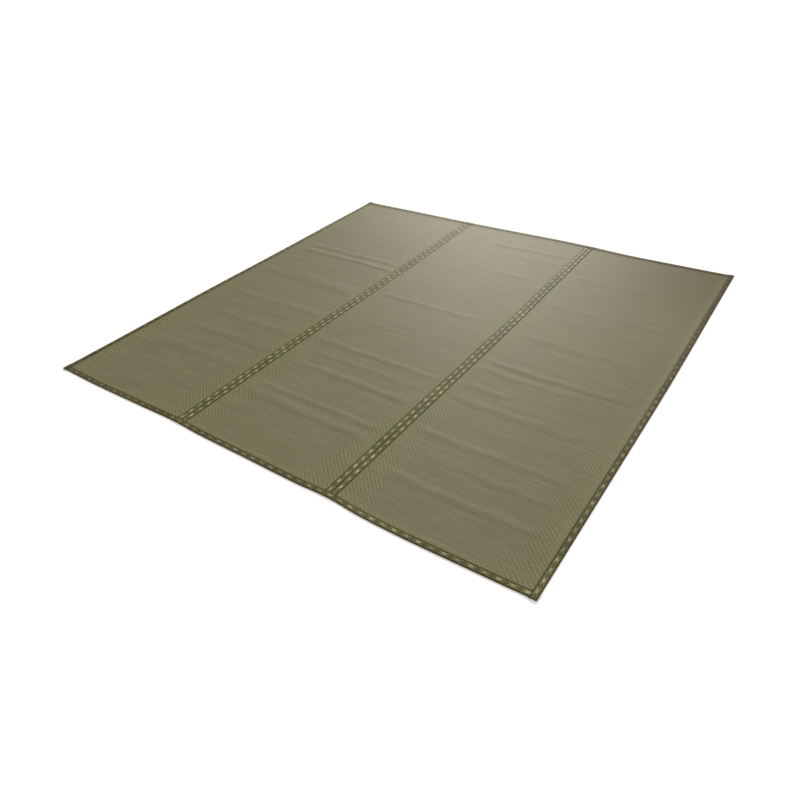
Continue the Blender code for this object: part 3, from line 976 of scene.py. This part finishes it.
def stitch_tree():
    tree, given, result = new_tree("line of stitches", (
        ("Stitch Pitch", "Float"), ("Stitch Length", "Float"), ("Thread Thickness", "Float"),
        ("Unevenness", "Float"), ("Seed", "Int"), ("Material", "Material"),
    ))
    line = put(tree, "GeometryNodeMeshToCurve", {"Mesh": given.outputs["Geometry"]})
    steps = put(
        tree, "GeometryNodeResampleCurve",
        {"Curve": line.outputs[0], "Length": given.outputs["Stitch Pitch"]}, mode="LENGTH",
    )
    tangent = tree.nodes.new("GeometryNodeInputTangent")
    turn = put(tree, "FunctionNodeAlignRotationToVector", {"Vector": tangent.outputs[0]}, axis="X")
    ball = put(tree, "GeometryNodeMeshUVSphere", {"Segments": 6, "Rings": 4, "Radius": 0.5})
    shape = put(tree, "ShaderNodeCombineXYZ", {
        "X": given.outputs["Stitch Length"], "Y": given.outputs["Thread Thickness"],
        "Z": given.outputs["Thread Thickness"],
    })
    stitch = put(tree, "GeometryNodeTransform", {"Geometry": ball.outputs[0], "Scale": shape.outputs[0]})
    low = calc(tree, "SUBTRACT", 1.0, given.outputs["Unevenness"])
    high = calc(tree, "ADD", 1.0, given.outputs["Unevenness"])
    size = put(
        tree, "FunctionNodeRandomValue", {2: low, 3: high, "Seed": given.outputs["Seed"]},
        data_type="FLOAT",
    )
    placed = put(tree, "GeometryNodeInstanceOnPoints", {
        "Points": steps.outputs[0], "Instance": stitch.outputs[0], "Rotation": turn.outputs[0],
        "Scale": size.outputs[1],
    })
    smooth_shade = put(tree, "GeometryNodeSetShadeSmooth", {"Geometry": placed.outputs[0]})
    end_tree(tree, smooth_shade.outputs[0], given.outputs["Material"], result)
    return tree


STITCH_TREE = stitch_tree()

# %% Thread material and sewing lines
THREAD_COLOUR = (0.085, 0.085, 0.035)
THREAD_ROUGHNESS = 0.6
THREAD_SHEEN = 0.2
THREAD_BUMP = (0.5, 0.0001)
TWIST_SCALE = 900.0
TWIST_GROOVE_SHADE = 0.6
STITCH = {"Stitch Pitch": 0.0065, "Stitch Length": 0.0048, "Thread Thickness": 0.0006, "Unevenness": 0.1}
SEWN_FIELD = HALF - 0.030
SIDE_FIELD = HALF - 0.004
LINE_POINTS = 241


def thread_material():
    material, tree, shader = new_material("sewing thread", THREAD_ROUGHNESS)
    shader.inputs["Sheen Weight"].default_value = THREAD_SHEEN
    places = put(tree, "ShaderNodeTexCoord").outputs["Object"]
    twist = put(
        tree, "ShaderNodeTexWave", {"Vector": places, "Scale": TWIST_SCALE, "Distortion": 1.0},
        bands_direction="DIAGONAL",
    ).outputs["Fac"]
    # Painted shade: the thread is darker in the grooves of its twist, where its bump is low.
    dark = tuple(part * TWIST_GROOVE_SHADE for part in THREAD_COLOUR)
    colour = blend_colours(tree, twist, dark, THREAD_COLOUR)
    dress(tree, shader, colour, twist, THREAD_BUMP)
    return material


THREAD_LOOK = thread_material()


def stitch_lines(name, lines, seed):
    """Stitches along several sewing lines, joined in one mesh. Each line is an array of points."""
    points = np.concatenate(lines)
    starts = np.cumsum([0] + [len(line) for line in lines])
    edges = [(spot, spot + 1) for low, high in zip(starts, starts[1:]) for spot in range(low, high - 1)]
    mesh = bpy.data.meshes.new(name)
    mesh.from_pydata(points.tolist(), edges, [])
    host = link(bpy.data.objects.new(name + "_line", mesh))
    values = {**STITCH, "Seed": seed, "Material": THREAD_LOOK}
    return grow(host, STITCH_TREE, values, name)


def seam_stitches(index):
    y = np.linspace(-SEWN_FIELD, SEWN_FIELD, LINE_POINTS)
    top = RUSH_THICK + REST + LIFT * end_rise(y) + tape_thickness(SEWN_IN) + PUCKER
    lines = [settle(SEAMS[index] + side * (TAPE_WIDTH / 2 - SEWN_IN) + 0 * y, y, top) for side in (-1, 1)]
    return stitch_lines("stitches_seam_" + SIDES[index], lines, 11 + index)


def edge_stitches(name, sign, end, seed):
    """Stitches on a binding's upper leg, along a side, or along an end if end is true."""
    reach = SEWN_FIELD if end else SIDE_FIELD
    run = np.linspace(-reach, reach, LINE_POINTS)
    if end:
        top = LIFT * side_rise(run) + LAYERS + LIFT * seam_rise(run) - sewn_down(SEWN_IN)
        line = settle(run, sign * (HALF - BINDING_SHOWS + SEWN_IN) + 0 * run, top)
    else:
        top = LAYERS + 2 * LIFT * end_rise(run) - sewn_down(SEWN_IN)
        line = settle(sign * (HALF - BINDING_SHOWS + SEWN_IN) + 0 * run, run, top)
    return stitch_lines(name, [line], seed)


seam_threads = [seam_stitches(index) for index in range(len(SEAMS))]
side_threads = [edge_stitches("stitches_side_" + side, sign, False, seed)
                for side, sign, seed in (("left", -1.0, 21), ("right", 1.0, 22))]
end_threads = [edge_stitches("stitches_end_" + end, sign, True, seed)
               for end, sign, seed in (("front", -1.0, 31), ("back", 1.0, 32))]
for piece in seam_threads + side_threads + end_threads:
    print(piece.name, len(piece.data.polygons), "faces")

# %% [markdown]
# ## Floor and light
# The floor is plain and white. A broad soft light comes from behind the mat, low enough for the ripples
# to show as dark slopes with pale crests. A sun lamp with a wide angle does this best, because it lights
# the whole floor evenly. The surroundings fill the rest, bright overhead and dimmer lower down as in a
# room, so that the waxy rush doesn't turn grey where it is seen at a low angle. Only the horizon itself
# is white, so that it joins the floor in low views.

# %% Floor, light and surroundings
FLOOR_SIDE = 400.0
FLOOR_DROP = 0.0002
FLOOR_COLOUR = (0.95, 0.95, 0.97)
FLOOR_ROUGHNESS = 0.9
WORLD_COLOUR = (1.0, 0.985, 0.94)
WORLD_OVERHEAD = 1.03
WORLD_HORIZON = 1.08
HORIZON_BAND = (0.04, 0.40)
WORLD_LOW = 0.18
LIGHT_FROM = (-0.438, 0.892, 0.46)
LIGHT_ANGLE = 18.0
LIGHT_STRENGTH = 2.87
LIGHT_COLOUR = (1.0, 0.97, 0.86)

half_floor = FLOOR_SIDE / 2
floor_mesh = bpy.data.meshes.new("floor")
floor_mesh.from_pydata(
    [(x * half_floor, y * half_floor, -FLOOR_DROP) for x, y in ((-1, -1), (1, -1), (1, 1), (-1, 1))],
    [], [(0, 1, 2, 3)],
)
floor = link(bpy.data.objects.new("floor", floor_mesh))
floor_paint, _, floor_shader = new_material("pale floor", FLOOR_ROUGHNESS)
floor_shader.inputs["Base Color"].default_value = (*FLOOR_COLOUR, 1.0)
floor_mesh.materials.append(floor_paint)

world = bpy.data.worlds.new("surroundings")
world.use_nodes = True
sky = world.node_tree
way = put(sky, "ShaderNodeSeparateXYZ", {0: put(sky, "ShaderNodeTexCoord").outputs["Generated"]})
upwards = way.outputs["Z"]
rising = calc(sky, "MULTIPLY_ADD", upwards, WORLD_OVERHEAD - WORLD_LOW, WORLD_LOW)
horizon = ramp(sky, upwards, *HORIZON_BAND, WORLD_HORIZON, 0.0)
strength = calc(sky, "MAXIMUM", rising, horizon)
sky.nodes["Background"].inputs["Color"].default_value = (*WORLD_COLOUR, 1.0)
sky.links.new(strength, sky.nodes["Background"].inputs["Strength"])
bpy.context.scene.world = world

lamp = link(bpy.data.objects.new("back light", bpy.data.lights.new("back light", "SUN")))
lamp.data.energy = LIGHT_STRENGTH
lamp.data.color = LIGHT_COLOUR
lamp.data.angle = math.radians(LIGHT_ANGLE)
lamp.rotation_euler = Vector(LIGHT_FROM).to_track_quat("Z", "Y").to_euler()

bpy.context.scene.view_settings.view_transform = "Standard"
print("light from", LIGHT_FROM, "at strength", LIGHT_STRENGTH)

# %% [markdown]
# ## Join the pieces to the frame
# Each piece rides on the mat's one body and stands for its own node, whose imported mesh is hidden.


def declare(piece, node):
    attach(piece, "root")
    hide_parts(node)


for thread in seam_threads + side_threads + end_threads:
    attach(thread, "root")

for panel, piece, flat in zip(PANELS, panels, panel_flats):
    declare(piece, "rush_panel_" + panel)
for side, piece, thread in zip(SIDES, seam_tapes, seam_threads):
    declare(piece, "seam_tape_" + side)
for side, piece, thread in zip(SIDES, side_bindings, side_threads):
    declare(piece, "side_binding_" + side)
for end, piece, thread in zip(("front", "back"), end_bindings, end_threads):
    declare(piece, "end_binding_" + end)
